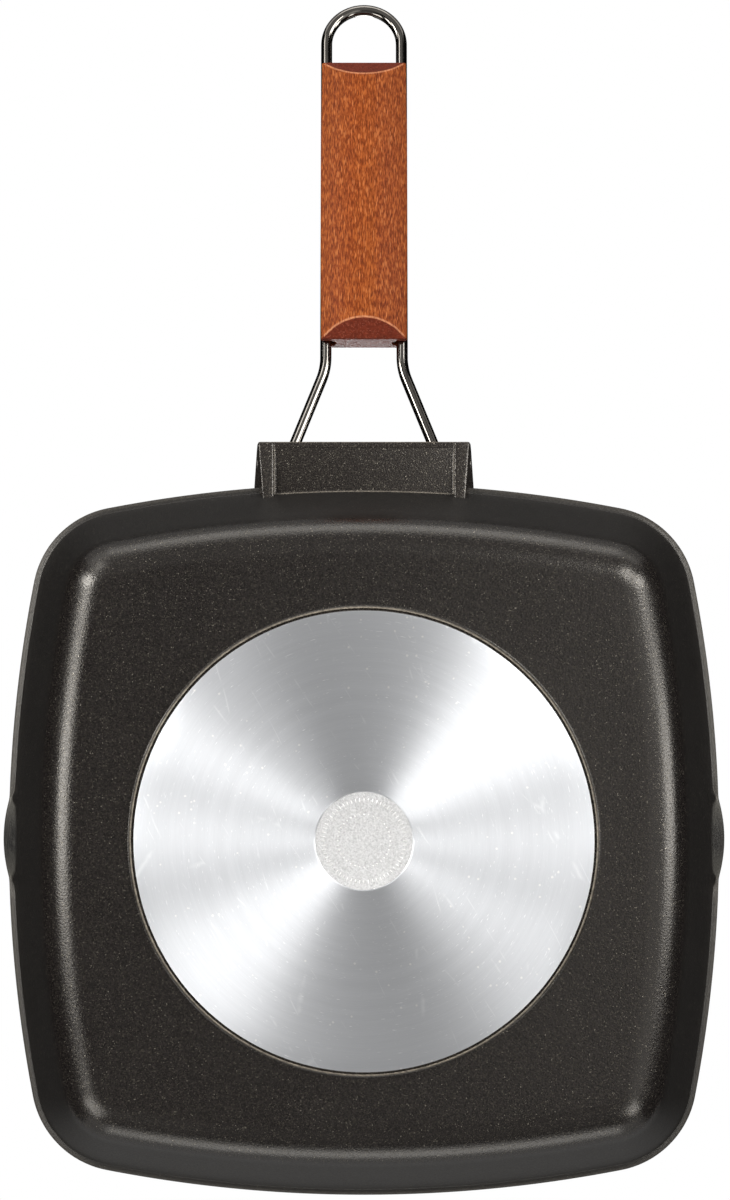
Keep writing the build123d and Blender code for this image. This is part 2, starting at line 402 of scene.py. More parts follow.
def coated_casting(place, body, fleck_share, fleck_size, peel, fleck_level):
    """Stoved non-stick coating on cast metal: satin, warm black, finely peeled, with metal flecks.

    It is rubbed along edges, where pale colour on the bead and the lug's hollows is painted highlight, ground on the
    spouts' lips, with painted shade and highlight there, and rougher up the walls, whose colour is darkened there as
    painted shade."""
    patch = cloud(place, 26)
    mottle = cloud(place, 1.3, 4)
    dust = cloud(place, fleck_size, 1)
    grain = cloud(place, 0.65, 0)
    gold = specks(place, fleck_size, fleck_share)
    shades = [(at, darker(paint(*shade), fleck_level)) for at, shade in (
        (0, (46, 43, 38)), (0.7, (70, 66, 58)), (0.95, (98, 93, 83)), (1, (148, 141, 128)))]
    # The pale edge colour is rubbed wear on the rim and seat, and painted highlight on the bead's underside, the lug's
    # tip and its hollows.
    wear_and_highlight = stored(place.tree, "edge")
    lip, lip_painted_light_grey = ground_lip(place)
    # Up the walls the colour is blended towards near black: painted shade, besides the added roughness.
    wall = stored(place.tree, "wall") * calc("SUBTRACT", 1, lip)
    base = layered(
        darker(body, 0.86), (patch, body), (fit(dust, 0.5, 1), darker(body, 3.4)),
        (fit(dust, 0.5, 0.1, 0, 0.8), darker(body, 0.2)), (gold, ramp(gold["Shade"], shades)),
        (wear_and_highlight * fit(mottle, 0.2, 0.8, 0.35, 1) * 0.7, paint(168, 157, 140)), (lip, lip_painted_light_grey),
        (wall * 0.6, paint(4, 4, 4)))
    rough = fit(patch, 0, 1, 0.21, 0.24) + grain * 0.08 + calc("MAXIMUM", lip, wear_and_highlight) * 0.2 + wall * 0.18
    return dict(Base_Color=base, Roughness=rough, Metallic=calc("MAXIMUM", gold * 0.6, lip * 0.12),
                Normal=relief(grain + gold * 0.5, peel), Specular_Tint=(1, 0.95, 0.87, 1))


def turned_aluminium(place):
    """Lathe-turned aluminium face: fine rings that fan the light, with light handling marks."""
    rings = use_effect(turned_rings, place, Pitch=0.32, Streaks=6)
    nicks = fit(use_effect(turned_rings, place, Pitch=0.42, Streaks=22), 0.78, 0.92)
    marks = use_effect(scratches, place, Turn=0.5, Spacing=14)
    base = layered(
        paint(213, 214, 216), (rings["Broad"], paint(217, 218, 220)), (rings["Fine"] * 0.3, paint(194, 195, 197)),
        (nicks * 0.8, paint(250, 250, 250)), (marks * 0.35, paint(248, 248, 248)),
        (specks(place, 1.1, 0.012) * 0.6, paint(248, 246, 242)))
    rough = fit(rings["Broad"], 0, 1, 0.44, 0.447) + nicks * 0.12 + cloud(place, 33) * 0.03
    round_axis = put(place.tree, "Tangent", direction_type="RADIAL", axis="Z")
    return dict(Base_Color=base, Roughness=rough, Normal=relief(rings["Fine"] * 0.5 + marks * -0.5, 0.0015),
                Metallic=1, Anisotropic=0.85, Anisotropic_Rotation=0.25, Tangent=round_axis)


def blasted_aluminium(place):
    """The stamped round: fine grained, evenly bright."""
    grain, patch = cloud(place, 0.7), cloud(place, 9)
    base = layered(paint(158, 157, 156), (grain, paint(216, 215, 214)), (patch * 0.3, paint(184, 183, 181)))
    return dict(Base_Color=base, Metallic=0.35, Roughness=fit(patch, 0, 1, 0.55, 0.65),
                Normal=relief(grain, 0.14))


def stamped_mark(place):
    """The rings of marks in the round: smoother than the ground."""
    grain = cloud(place, 0.4, 2)
    return dict(Base_Color=layered(paint(206, 205, 203), (grain, paint(232, 231, 229))), Metallic=0.8,
                Roughness=fit(grain, 0, 1, 0.32, 0.45), Normal=relief(grain, 0.06))


def plated_wire(place):
    """Nickel plate over drawn wire: smooth, a little dulled in patches, its colour darkened as painted shade for the
    dark surroundings it mirrors.
    """
    patch, haze = cloud(place, 7), cloud(place, 0.9, 4)
    # The plate's colour is kept dark as painted shade, standing in for dark surroundings in its reflections.
    base = layered(paint(104, 100, 95), (patch, paint(122, 118, 112)),
                   (specks(place, 0.8, 0.06) * 0.5, paint(140, 136, 130)))
    return dict(Base_Color=base, Metallic=1, Normal=relief(haze, 0.0015),
                Roughness=fit(patch, 0, 1, 0.08, 0.11) + haze * 0.02)


def stained_wood(place):
    """Stained close-grained hardwood, grain along the grip, with dark pores and paler edges."""
    along = level_with_handle(place)
    stretched = vector("MULTIPLY", along, (1, 0.035, 1))
    fibre = vector("MULTIPLY", along, (1, 0.17, 1))
    streak, band, fine = cloud(stretched, 2.2, 4), cloud(stretched, 9, 2), cloud(fibre, 0.4, 2)
    pores, glints = specks(fibre, 0.5, 0.3), specks(fibre, 0.52, 0.24)
    facing = calc("ABSOLUTE", parts_of(level_with_handle(put(place.tree, "TexCoord")["Normal"]))[1])
    end_grain = layered(paint(78, 29, 16), (cloud(along, 1.2), paint(110, 44, 26)),
                        (specks(along, 0.42, 0.28) * 0.5, paint(150, 86, 66)))
    edge = stored(place.tree, "edge") * fit(facing, 0.45, 0.6, 1, 0)
    base = layered(
        paint(108, 45, 13), (streak, paint(130, 63, 17)), (band * 0.7, paint(108, 38, 17)),
        (fit(fine, 0.4, 0.8, 0, 0.75), paint(172, 93, 40)), (fit(fine, 0.42, 0.1, 0, 0.7), paint(80, 28, 10)),
        (pores * 0.5, paint(78, 28, 12)), (glints * 0.6, paint(194, 118, 64)),
        (fit(facing, 0.35, 0.6), end_grain), (edge * fit(fine, 0.2, 0.8, 0.3, 0.75), paint(206, 140, 100)))
    return dict(Base_Color=base, Roughness=fit(streak, 0, 1, 0.5, 0.6), Normal=relief(fine - pores * 1.2, 0.03),
                Specular_IOR_Level=0.1)


outside_coating = finish("Coated casting", coated_casting, paint(19, 16, 15), 0.34, 0.44, 0.023, 1)
cooking_coating = finish("Cooking surface coating", coated_casting, paint(24, 21, 20), 0.28, 0.44, 0.02, 1)
lug_coating = finish("Coated lug", coated_casting, paint(27, 23, 21), 0.55, 0.48, 0.042, 1.2)
disc_metal = finish("Turned aluminium", turned_aluminium)
round_metal = finish("Blasted aluminium", blasted_aluminium)
mark_metal = finish("Stamped marks", stamped_mark)
wire_plate = finish("Plated wire", plated_wire)
grip_wood = finish("Stained wood", stained_wood)


# Mesh building

def added(name, data):
    """A new object in the scene."""
    made = bpy.data.objects.new(name, data)
    bpy.context.scene.collection.objects.link(made)
    return made


def show(name, mesh, body, materials, stands_for=()):
    """Shows a mesh on its body and in its slot, in place of the CAD nodes that it stands for."""
    piece = added(name, mesh)
    while len(mesh.materials) < len(materials):
        mesh.materials.append(None)
    for i, material in enumerate(materials):
        mesh.materials[i] = material
    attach(piece, body)
    if stands_for:
        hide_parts(*stands_for)


def smooth_mesh(work, name):
    """The mesh of a bmesh, shaded smooth, its normals outward."""
    bmesh.ops.recalc_face_normals(work, faces=work.faces)
    mesh = bpy.data.meshes.new(name)
    work.to_mesh(mesh)
    work.free()
    mesh.shade_smooth()
    return mesh


def skin(name, rings, caps=()):
    """A closed skin through rings of points in millimetres; one-point rings are poles.

    Caps are faces on the first and last ring, each given as places in the ring."""
    work = bmesh.new()
    made = [[work.verts.new(Vector(point) * MM) for point in ring] for ring in rings]
    for low, high in zip(made, made[1:]):
        count = max(len(low), len(high))
        for i in range(count):
            j = (i + 1) % count
            corners = (low[i % len(low)], low[j % len(low)], high[j % len(high)], high[i % len(high)])
            work.faces.new(tuple(dict.fromkeys(corners)))
    for ring in (made[0], made[-1]):
        for cap in caps:
            work.faces.new([ring[i] for i in cap])
    return smooth_mesh(work, name)


def plain_mesh(helper):
    """The plain mesh that a helper object gives; the helper goes."""
    mesh = bpy.data.meshes.new_from_object(helper.evaluated_get(bpy.context.evaluated_depsgraph_get()))
    bpy.data.objects.remove(helper)
    return mesh


def bevelled(mesh, width, segments, angle, harden_normals=False):
    """The mesh with its edges rounded where sharper than an angle in degrees."""
    helper = added("helper", mesh)
    bevel = helper.modifiers.new("BEVEL", "BEVEL")
    bevel.width, bevel.segments, bevel.harden_normals = width * MM, segments, harden_normals
    bevel.limit_method, bevel.angle_limit = "ANGLE", radians(angle)
    return plain_mesh(helper)


def grown(name, build, material, inputs, **sizes):
    """Grows a mesh by a Geometry Nodes tree with named inputs and sizes in millimetres, and gives it its material."""
    kinds = {int: "NodeSocketInt", float: "NodeSocketFloat", bpy.types.Object: "NodeSocketObject"}
    tree = bpy.data.node_groups.new(name, "GeometryNodeTree")
    tree.interface.new_socket("Geometry", in_out="OUTPUT", socket_type="NodeSocketGeometry")
    places = {}
    for socket, value in {**inputs, **{name.replace("_", " "): size * MM for name, size in sizes.items()}}.items():
        made = tree.interface.new_socket(socket, in_out="INPUT", socket_type=kinds[type(value)])
        places[made.identifier] = value
    shaped = build(put(tree, "NodeGroupInput"))
    put(tree, "NodeGroupOutput", {0: put(tree, "GeometryNodeSetMaterial", {"Geometry": shaped, "Material": material})})
    helper = added("grown", bpy.data.meshes.new("grown"))
    modifier = helper.modifiers.new("grow", "NODES")
    modifier.node_group = tree
    for identifier, value in places.items():
        modifier[identifier] = value
    mesh = plain_mesh(helper)
    mesh.shade_smooth()
    return mesh


def set_out(points, piece, **more):
    """A piece on every point, as real mesh."""
    placed = put(points.tree, "GeometryNodeInstanceOnPoints", {"Points": points, "Instance": piece, **more})
    return put(points.tree, "GeometryNodeRealizeInstances", {0: placed})


def store_share(mesh, name, rule):
    """Keeps a share from 0 to 1 at each point, for the finishes."""
    values = mesh.attributes.new(name, "FLOAT", "POINT")
    for i, vertex in enumerate(mesh.vertices):
        values.data[i].value = rule(vertex.co / MM)


def arc(centre, radius, start, end, steps):
    """Points along an arc in a plane, angles in degrees."""
    angles = [radians(angle) for angle in [start] + on_the_way(start, end, steps)]
    return [(centre[0] + radius * cos(a), centre[1] + radius * sin(a)) for a in angles]


def on_the_way(low, high, count):
    """Even steps from low to high, without low itself."""
    return [low + (high - low) * i / count for i in range(1, count + 1)]


def round_angles(count):
    """Angles all the way round, in radians."""
    return [2 * pi * i / count for i in range(count)]


def way(value, low, high):
    """How far a value is from low to high, held from 0 to 1."""
    return min(1, max(0, (value - low) / (high - low)))


def smooth_way(value, low, high):
    """The same, with a soft start and end."""
    share = way(value, low, high)
    return share * share * (3 - 2 * share)


# Pan casting

def corner_middle(half_width, side_radius, corner_radius):
    """The X and Y of a corner's centre, in a square with bulged sides."""
    shift = side_radius - half_width
    return (-shift + sqrt(2 * (side_radius - corner_radius) ** 2 - shift**2)) / 2


def outline_stations():
    """Centre, radius at the rim and direction of each point round the pan."""
    shift = rim_side_radius - rim_half
    corner_x = corner_middle(rim_half, rim_side_radius, rim_corner_radius)
    turn = degrees(atan2(corner_x, corner_x + shift))
    made = []
    for spin in (0, 90, 180, 270):
        rotation = Matrix.Rotation(radians(spin), 2)
        side_centre, corner_centre = rotation @ Vector((-shift, 0)), rotation @ Vector((corner_x, corner_x))
        has_spout = spin % 180 == 0
        steps = spout_side_steps if has_spout else plain_side_steps
        for i in range(steps):
            across = 2 * i / steps - 1
            if has_spout:  # points lie closer together at the spout
                across = 0.45 * across + 0.55 * across**3
            made.append((side_centre, rim_side_radius, radians(spin + turn * across)))
        for i in range(corner_steps):
            angle = spin + turn + (90 - 2 * turn) * i / corner_steps
            made.append((corner_centre, rim_corner_radius, radians(angle)))
    return made


stations = outline_stations()


def outline_ring(outward, height):
    """The pan's bulged square at one height, grown outward or taken in."""
    return [Vector((centre[0] + (radius + outward) * cos(angle), centre[1] + (radius + outward) * sin(angle),
                    height)) for centre, radius, angle in stations]


outline_outward = [outer - inner for outer, inner in zip(outline_ring(0, 0), outline_ring(-1, 0))]


def round_ring(radius, height):
    """A circle with a point in the direction of each outline point."""
    return [point.normalized() * radius + Vector((0, 0, height)) for point in outline_ring(0, 0)]


def near_spout(point):
    """Whether a place lies on one of the two sides with a spout."""
    return abs(point.x) > rim_half / 2 and abs(point.y) < spout_radius


def spout_skin(y, z, wall=0):
    """How far out a spout's leaning cylinder lies, at one place along the side and height."""
    radius = spout_radius - wall
    if abs(y) >= radius:
        return -rim_half
    axis = rim_half + spout_reach - spout_radius / cos(spout_lean)
    return axis + (z - rim_height) * tan(spout_lean) + sqrt(radius**2 - y**2) / cos(spout_lean)


def soft_max(a, b):
    """The larger of two values, with the change-over rounded."""
    if abs(a - b) >= 12 * spout_blend:
        return max(a, b)
    return (a + b + sqrt((a - b) ** 2 + spout_blend**2)) / 2


def with_spouts(ring, wall=0):
    """Pushes a ring out to the spouts on both sides."""
    for point in ring:
        if near_spout(point):
            point.x = copysign(soft_max(abs(point.x), spout_skin(point.y, point.z, wall)), point.x)
    return ring


def wall_inset(height, thickness=0):
    """How far in from the bead the wall stands at one height."""
    return bead_width + thickness + (rim_height - height) * lean


def base_rounding(radius, flat_height, thickness, steps):
    """The rounding from a flat at one height up to the wall, as (outward, up)."""
    height = flat_height + radius
    centre = (-wall_inset(height, thickness) - radius / cos(wall_lean), height)
    return arc(centre, radius, -90, -lean_degrees, steps)


def bead_left(y):
    """The share of the bead's height that is left beside the spouts."""
    return bead_left_at_spout + (1 - bead_left_at_spout) * smooth_way(abs(y) - spout_half, 0, bead_return)


def narrowing(y):
    """The share of the bead's width that is gone where a spout's lip runs out."""
    return bead_narrowing * (1 - smooth_way(abs(abs(y) - spout_half), 0, bead_narrowing_length))


def wall_push(y, z):
    """How far the wall comes out below the narrowed bead."""
    return bead_width * narrowing(y) * smooth_way(z, spout_part_z, rim_height - bead_height)


def beaded_ring(outward, height):
    """A ring round the bead, ground away where the spouts stand past it."""
    ring = outline_ring(outward, height)
    for point, away in zip(ring, outline_outward):
        if near_spout(point):
            point.z = rim_height - (rim_height - height) * bead_left(point.y)
            ground = way(-abs(point.y), -spout_half - 0.6, -spout_half + 0.8)
            narrow = narrowing(point.y)
            point -= away * outward * narrow
            past = max(0, abs(point.x) - spout_skin(point.y, point.z))
            room = wall_inset(point.z) - bead_width * narrow + outward * (1 - narrow)
            point -= away * min(past, max(0, room)) * ground
    return with_spouts(ring)


def outer_wall_ring(height, top):
    """A ring on the wall's outside, which reaches higher where the bead runs out."""
    ring = outline_ring(-wall_inset(height), height)
    for point, away in zip(ring, outline_outward):
        if near_spout(point) and height > spout_part_z:
            here = rim_height - (rim_height - top) * bead_left(point.y)
            rise = (height - spout_part_z) * (here - top) / (top - spout_part_z)
            point.z += rise
            point += away * (rise * lean + wall_push(point.y, point.z))
    return with_spouts(ring)


def wall_heights(low, high):
    """Heights up a wall, closer together where the spouts part from it."""
    return on_the_way(low, spout_part_z, 6) + on_the_way(spout_part_z, high, 16)


def casting_rings():
    """All rings of the casting, from the disc's seat, out over the rim, to the cooking floor."""
    seat = disc_radius + disc_clearance
    boss = seat + boss_lip_width
    chamfer_in, chamfer_up = boss_lip_chamfer
    foot = [(seat, disc_thickness), (seat, boss_height), (boss - chamfer_in, boss_height),
            (boss, boss_height + chamfer_up)]
    foot += [(boss + out * boss_slope_width, boss_height + up * (base_height - boss_height))
             for out, up in ((0.55, 0.78), (0.7, 0.89), (0.9, 0.96), (1.2, 0.99), (1.6, 1))]
    foot = [round_ring(*place) for place in foot]
    outer_arc = base_rounding(outer_rounding, base_height, 0, 16)
    base = [outline_ring(*place) for place in outer_arc]
    between = [[low.lerp(high, share) for low, high in zip(foot[-1], base[0])] for share in (0.5, 0.8)]
    wall_top = rim_height - bead_height
    wall = [outer_wall_ring(height, wall_top) for height in wall_heights(outer_arc[-1][1], wall_top)]
    bead = [(-bead_width + 0.06, 0.02), (-bead_width / 2, 0.4), (-0.22, 0.68), (-0.07, 0.8), (0, 0.98)]
    bead += arc((-rim_edge_rounding, bead_height - rim_edge_rounding), rim_edge_rounding, 0, 90, 3)
    rim = [beaded_ring(out, wall_top + up) for out, up in bead]
    mouth_z = rim_height - mouth_rounding
    mouth = (-wall_inset(mouth_z, wall_across) + mouth_rounding / cos(wall_lean), mouth_z)
    inner_arc = base_rounding(inner_rounding, floor_height, wall_across, 12)[::-1]
    inside = arc(mouth, mouth_rounding, 90, 180 - lean_degrees, 5)
    inside += [(-wall_inset(height, wall_across), height)
               for height in reversed(wall_heights(inner_arc[0][1], mouth_z)[:-1])]
    inside = [with_spouts(outline_ring(*place), spout_wall) for place in inside]
    floor = [outline_ring(*place) for place in inner_arc]
    floor += [[Vector((p.x * share, p.y * share, p.z)) for p in floor[-1]] for share in (0.9, 0.5)]
    middle = [[Vector((0, 0, height))] for height in (disc_thickness, floor_height)]
    return middle[:1] + foot + between + base + wall + rim + inside + floor + middle[1:]


def rim_wear_and_bead_highlight(point):
    """Wear on the rim and on the lip round the disc's seat, and pale colour along the bead's underside that is a
    painted highlight.
    """
    if point.z < boss_height + 0.1 and hypot(point.x, point.y) > disc_radius:
        return 0.9
    # the bead's pale underside is a painted highlight
    on_bead = 0.18 if point.z > rim_height - bead_height + 0.1 else 0
    return max(0.35 * (1 - min(1, abs(point.z - rim_height) / 0.5)), on_bead)


def on_spout_lip(point):
    """How far a place belongs to a spout's leaning lip, 0 to 1."""
    if (abs(point.y) > spout_half + 0.3 or point.z < spout_part_z - 0.5
            or abs(abs(point.x) - spout_skin(point.y, point.z)) > 0.4):
        return 0
    wall_x = rim_half - wall_inset(point.z) - point.y**2 / (2 * rim_side_radius) + wall_push(point.y, point.z)
    return way(abs(point.x) - wall_x, 0.1, 0.4)


def casting():
    """Walls, base and cooking floor in one skin, the cooking side in its own coating."""
    mesh = skin("pan_casting", casting_rings())
    store_share(mesh, "edge", rim_wear_and_bead_highlight)
    store_share(mesh, "lip", on_spout_lip)
    # The wall share roughens the walls and darkens their colour as painted shade.
    store_share(mesh, "wall", lambda point: smooth_way(point.z, 8, 16))  # above the base roundings
    for polygon in mesh.polygons:
        middle = polygon.center / MM
        inward = hypot(middle.x, middle.y) > 1 and polygon.normal.xy.dot(middle.xy) < 0
        faces_up = polygon.normal.z > 0.2 and middle.z < rim_height - 1.5
        if middle.z > floor_height - 0.5 and (faces_up or inward):
            polygon.material_index = 1
    return mesh


# Cooking ribs

def rib_field(given):
    """Ribs side by side, each as long as the field is there, with sloped ends."""
    tree, count, middle = given.tree, given["Count"], given["Corner middle"]
    start = xyz(tree, x=(count - 1) * given["Pitch"] * -0.5)
    line = put(tree, "GeometryNodeMeshLine",
               {"Count": count, "Start Location": start, "Offset": xyz(tree, x=given["Pitch"])}, mode="OFFSET")
    source = put(tree, "GeometryNodeObjectInfo", {"Object": given["Rib"]}, transform_space="ORIGINAL")
    place = parts_of(put(tree, "GeometryNodeInputPosition"))
    across = calc("ABSOLUTE", place[0])
    side = calc("SQRT", given["Side radius"]**2 - across**2) - given["Side radius"] + given["Half length"]
    past = calc("MAXIMUM", across - middle, 0)
    corner = middle + calc("SQRT", calc("MAXIMUM", given["Corner radius"]**2 - past**2, 0))
    beside_corner = calc("LESS_THAN", past, 1e-6)  # there the side alone sets the length
    limit = calc("MINIMUM", side, corner + beside_corner) - (place[2] - given["Floor"]) * given["End slope"]
    moved = xyz(tree, x=place[0], y=place[1] * limit, z=place[2])
    return put(tree, "GeometryNodeSetPosition", {"Geometry": set_out(line, source["Geometry"]), "Position": moved})


def rib_bar():
    """One rib, from minus one metre to plus one, rounded along the top."""
    half_foot, half_top, top_z = rib_foot_width / 2, rib_top_width / 2, floor_height + rib_height
    section = [(-half_foot - rib_sunk * (half_foot - half_top) / rib_height, floor_height - rib_sunk)]
    section += [(-half_top + rib_top_rounding * (1 - cos(radians(angle))),
                 top_z - rib_top_rounding * (1 - sin(radians(angle)))) for angle in (10, 28, 46, 64, 82)]
    section += [(-x, z) for x, z in reversed(section)]
    shares = (-1, -0.996, -0.98, 0.98, 0.996, 1)
    return skin("rib_bar", [[(x, share / MM, z) for x, z in section] for share in shares], [range(len(section))])


def ribs():
    """All ribs as one mesh, their edges rounded."""
    bar = added("rib_source", rib_bar())
    inset = wall_inset(floor_height, wall_across) + channel_width
    half, side_radius = rim_half - inset, rim_side_radius - inset
    mesh = grown("Cooking ribs", rib_field, cooking_coating,
                 {"Count": rib_count, "End slope": tan(rib_end_lean), "Rib": bar},
                 Pitch=rib_pitch, Floor=floor_height - rib_sunk, Half_length=half, Side_radius=side_radius,
                 Corner_middle=corner_middle(half, side_radius, rib_corner_radius), Corner_radius=rib_corner_radius)
    bpy.data.objects.remove(bar)
    return bevelled(mesh, rib_edge_rounding, 2, 38)


# Handle lug

def plate(name, outlines, thickness, rounding, place):
    """A plate with rounded edges, cut from closed outlines, the first the outside and the rest holes.

    Each point (u, v, depth) of it goes to where the rule places it."""
    curve = bpy.data.curves.new(name, "CURVE")
    curve.dimensions, curve.fill_mode, curve.bevel_resolution = "2D", "BOTH", 3
    curve.extrude, curve.bevel_depth, curve.offset = (thickness / 2 - rounding) * MM, rounding * MM, -rounding * MM
    for outline in outlines:
        spline = curve.splines.new("POLY")
        spline.points.add(len(outline) - 1)
        for point, (u, v) in zip(spline.points, outline):
            point.co = (u * MM, v * MM, 0, 1)
        spline.use_cyclic_u = True
    mesh = plain_mesh(added(name, curve))
    for vertex in mesh.vertices:
        vertex.co = [part * MM for part in place(*(part / MM for part in vertex.co))]
    return mesh


def rounded_corner(before, corner, after, radius, steps=6):
    """Points of an arc that rounds one corner of a path."""
    before, corner, after = Vector(before), Vector(corner), Vector(after)
    back, on = (before - corner).normalized(), (after - corner).normalized()
    half = back.angle(on) / 2
    centre = corner + (back + on).normalized() * radius / sin(half)
    first = corner + back * radius / tan(half) - centre
    last = corner + on * radius / tan(half) - centre
    turn = first.angle(last)
    return [centre + (first * sin((1 - i / steps) * turn) + last * sin(i / steps * turn)) / sin(turn)
            for i in range(steps + 1)]


def cheek(side):
    """One bored cheek with the gusset below it, drafted as the casting is."""
    def place(y, z, depth):
        root = (lug_tip_y - y) / (lug_tip_y - lug_root_y)
        drop = (lug_top_z - z) / (lug_top_z - lug_foot_z)
        inset = lug_tip_inset + (lug_rim_inset - lug_tip_inset) * root
        outer = lug_tip_half + (lug_rim_half - lug_tip_half) * root - inset * drop
        inner = cheek_inner_spread if z > lug_under_z else gusset_inner_x
        return side * (inner + (outer - inner) * (depth / blank + 0.5)), y, z

    blank, step_z = 2, rim_height - bead_height / 2
    root, tip_foot = (lug_root_y, lug_foot_z), (lug_tip_y, lug_under_z - gusset_tip_depth)
    nose, back = (lug_tip_y, lug_top_z), (rim_half - cheek_back_inset, lug_top_z)
    step = (back[0], step_z)
    path = [root] + rounded_corner(root, tip_foot, nose, cheek_foot_rounding, 3)
    path += rounded_corner(tip_foot, nose, back, cheek_nose_rounding)
    path += rounded_corner(nose, back, step, cheek_nose_rounding) + [step, (lug_root_y, step_z)]
    bore = arc((hinge_y, hinge_z), wire_radius + hinge_clearance, 0, 351, 39)
    return plate("cheek", [path, bore], blank, lug_edge_rounding, place)


def front_wall():
    """The low wall between the cheeks, with a saddle for each leg."""
    leg_y = lug_tip_y - lug_front_wall / 2
    along = (leg_y - hinge_y) / cos(handle_rise)
    leg_x = hinge_leg_spread - (hinge_leg_spread - grip_leg_spread) * along / leg_bend_distance
    leg_z = hinge_z + (leg_y - hinge_y) * tan(handle_rise)
    top = leg_z - wire_radius + front_wall_notch
    radius = wire_radius + saddle_clearance
    edge, half_angle = cheek_inner_spread + lug_overlap, degrees(acos((leg_z - top) / radius))
    path = [(-edge, lug_under_z), (edge, lug_under_z), (edge, top)]
    for centre in (leg_x, -leg_x):
        path += arc((centre, leg_z), radius, -90 + half_angle, -90 - half_angle, 10)
    return plate("front_wall", [path + [(-edge, top)]], lug_front_wall, lug_edge_rounding,
                 lambda x, z, depth: (x, leg_y + depth, z))


def lug_floor():
    """The plate under the legs, from the rim to the front wall."""
    edge = cheek_inner_spread + lug_overlap
    front = lug_tip_y - lug_front_wall + 0.5
    path = [(-edge, lug_root_y), (edge, lug_root_y), (edge, front), (-edge, front)]
    return plate("lug_floor", [path], lug_floor_thickness, 0.05,
                 lambda x, y, depth: (x, y, depth + lug_floor_z - lug_floor_thickness / 2))


def hollow_strip(count, stop):
    """A hollow rounding along an inner corner. A stop gives a buried point and an arc, at one share of the way."""
    rings = [[Vector(point) for point in stop(i / count)] for i in range(count + 1)]
    ends = [[sum(ring, Vector()) / len(ring)] for ring in (rings[0], rings[-1])]
    return skin("hollow_strip", [ends[0]] + rings + [ends[1]])


def gusset_hollow(side):
    """The rounding between a gusset and the plate."""
    def stop(share):
        y = lug_root_y + (lug_tip_y - 0.6 - lug_root_y) * share
        depth = (lug_tip_y - y) / (lug_tip_y - lug_root_y) * (lug_under_z - gusset_tip_depth - lug_foot_z)
        radius = min(lug_hollow_radius, 0.85 * (depth + gusset_tip_depth))
        curve = arc((gusset_inner_x - radius, lug_under_z - radius), radius, 0, 90, 6)
        return [(side * x, y, z) for x, z in [(gusset_inner_x + hollow_sunk, lug_under_z + hollow_sunk)] + curve]
    return hollow_strip(12, stop)


def plate_hollow():
    """The rounding between the plate and the pan's wall."""
    def stop(share):
        x, radius = gusset_inner_x * (2 * share - 1), lug_hollow_radius
        wall_y = rim_half - wall_inset(lug_under_z) - x**2 / (2 * rim_side_radius)
        middle = (wall_y + radius * cos(wall_lean) / (1 + sin(wall_lean)), lug_under_z - radius)
        curve = arc(middle, radius, 90, 180 - lean_degrees, 6)
        return [(x, y, z) for y, z in [(wall_y - hollow_sunk, lug_under_z + hollow_sunk)] + curve]
    return hollow_strip(24, stop)


def lug_wear_and_highlight(point):
    """Pale colour along the tip's edges, rubbed wear and painted highlight, and in the hollow roundings below the
    plate, painted highlight.
    """
    below_plate = lug_under_z - 0.8 < point.z < lug_under_z - 0.15
    in_hollow = below_plate and abs(point.x) < gusset_inner_x - 0.05 and point.y < lug_tip_y - 0.8
    # pale in the hollows is painted highlight; at the tip it is wear and painted highlight
    return 0.5 if in_hollow or point.y > lug_tip_y - 0.3 else 0


def lug():
    """The handle lug as one mesh."""
    work = bmesh.new()
    for mesh in (cheek(1), cheek(-1), front_wall(), lug_floor(), gusset_hollow(1), gusset_hollow(-1), plate_hollow()):
        work.from_mesh(mesh)
    bmesh.ops.remove_doubles(work, verts=work.verts, dist=0.00001 * MM)
    mesh = smooth_mesh(work, "handle_lug")
    store_share(mesh, "edge", lug_wear_and_highlight)
    mesh.set_sharp_from_angle(angle=radians(40))
    return mesh


# Base disc

def disc():
    """The turned disc, its round and edge in finishes of their own."""
    edge = disc_radius - disc_edge_chamfer
    stamp_edge = ((-0.55, stamp_depth), (-0.3, stamp_depth - 0.06), (-0.05, 0.1), (0.1, 0.02), (0.3, 0))
    profile = [(0, stamp_depth)] + [(stamp_radius + out, height) for out, height in stamp_edge]
    profile += [(radius, 0) for radius in (25, 40, 60, 75, edge - 0.1)]
    profile += [(edge, 0.02), (disc_radius - 0.02, disc_edge_chamfer), (disc_radius, disc_edge_chamfer + 0.05),
                (disc_radius, disc_thickness), (0, disc_thickness)]
    mesh = skin("base_disc", [
        [(radius * cos(angle), radius * sin(angle), height)
         for angle in round_angles(disc_steps if radius else 1)] for radius, height in profile])
    mesh.set_sharp_from_angle(angle=radians(30))
    for polygon in mesh.polygons:
        middle = polygon.center / MM
        out = hypot(middle.x, middle.y)
        if middle.z < 1 and out < stamp_radius - 0.2:
            polygon.material_index = 1
        elif out > edge - 0.05:
            polygon.material_index = 2
    return mesh


def marks_round(given):
    """Short raised marks set round a circle."""
    tree, count = given.tree, given["Count"]
    circle = put(tree, "GeometryNodeMeshCircle", {"Vertices": count, "Radius": given["Radius"]})
    turn = xyz(tree, z=put(tree, "GeometryNodeInputIndex") / count * (2 * pi))
    size = xyz(tree, x=given["Length"], y=given["Width"], z=given["Rise"])
    bead = put(tree, "GeometryNodeMeshUVSphere", {"Segments": 12, "Rings": 8, "Radius": 0.5})
    marks = set_out(circle, bead, Rotation=turn, Scale=size)
    return put(tree, "GeometryNodeSetPosition", {"Geometry": marks, "Offset": xyz(tree, z=given["Height"])})


def mark_ring(count, radius, length, width):
    """One ring of marks in the stamped round."""
    return grown("Ring of marks", marks_round, mark_metal, {"Count": count},
                 Radius=radius, Height=stamp_depth, Length=length, Width=width, Rise=0.5)


# Handle wire

def on_handle(x, along, above):
    """A place in the handle's flat frame, carried to where the open handle stands."""
    return Vector((x, hinge_y + along * cos(handle_rise) - above * sin(handle_rise),
                   hinge_z + along * sin(handle_rise) + above * cos(handle_rise)))


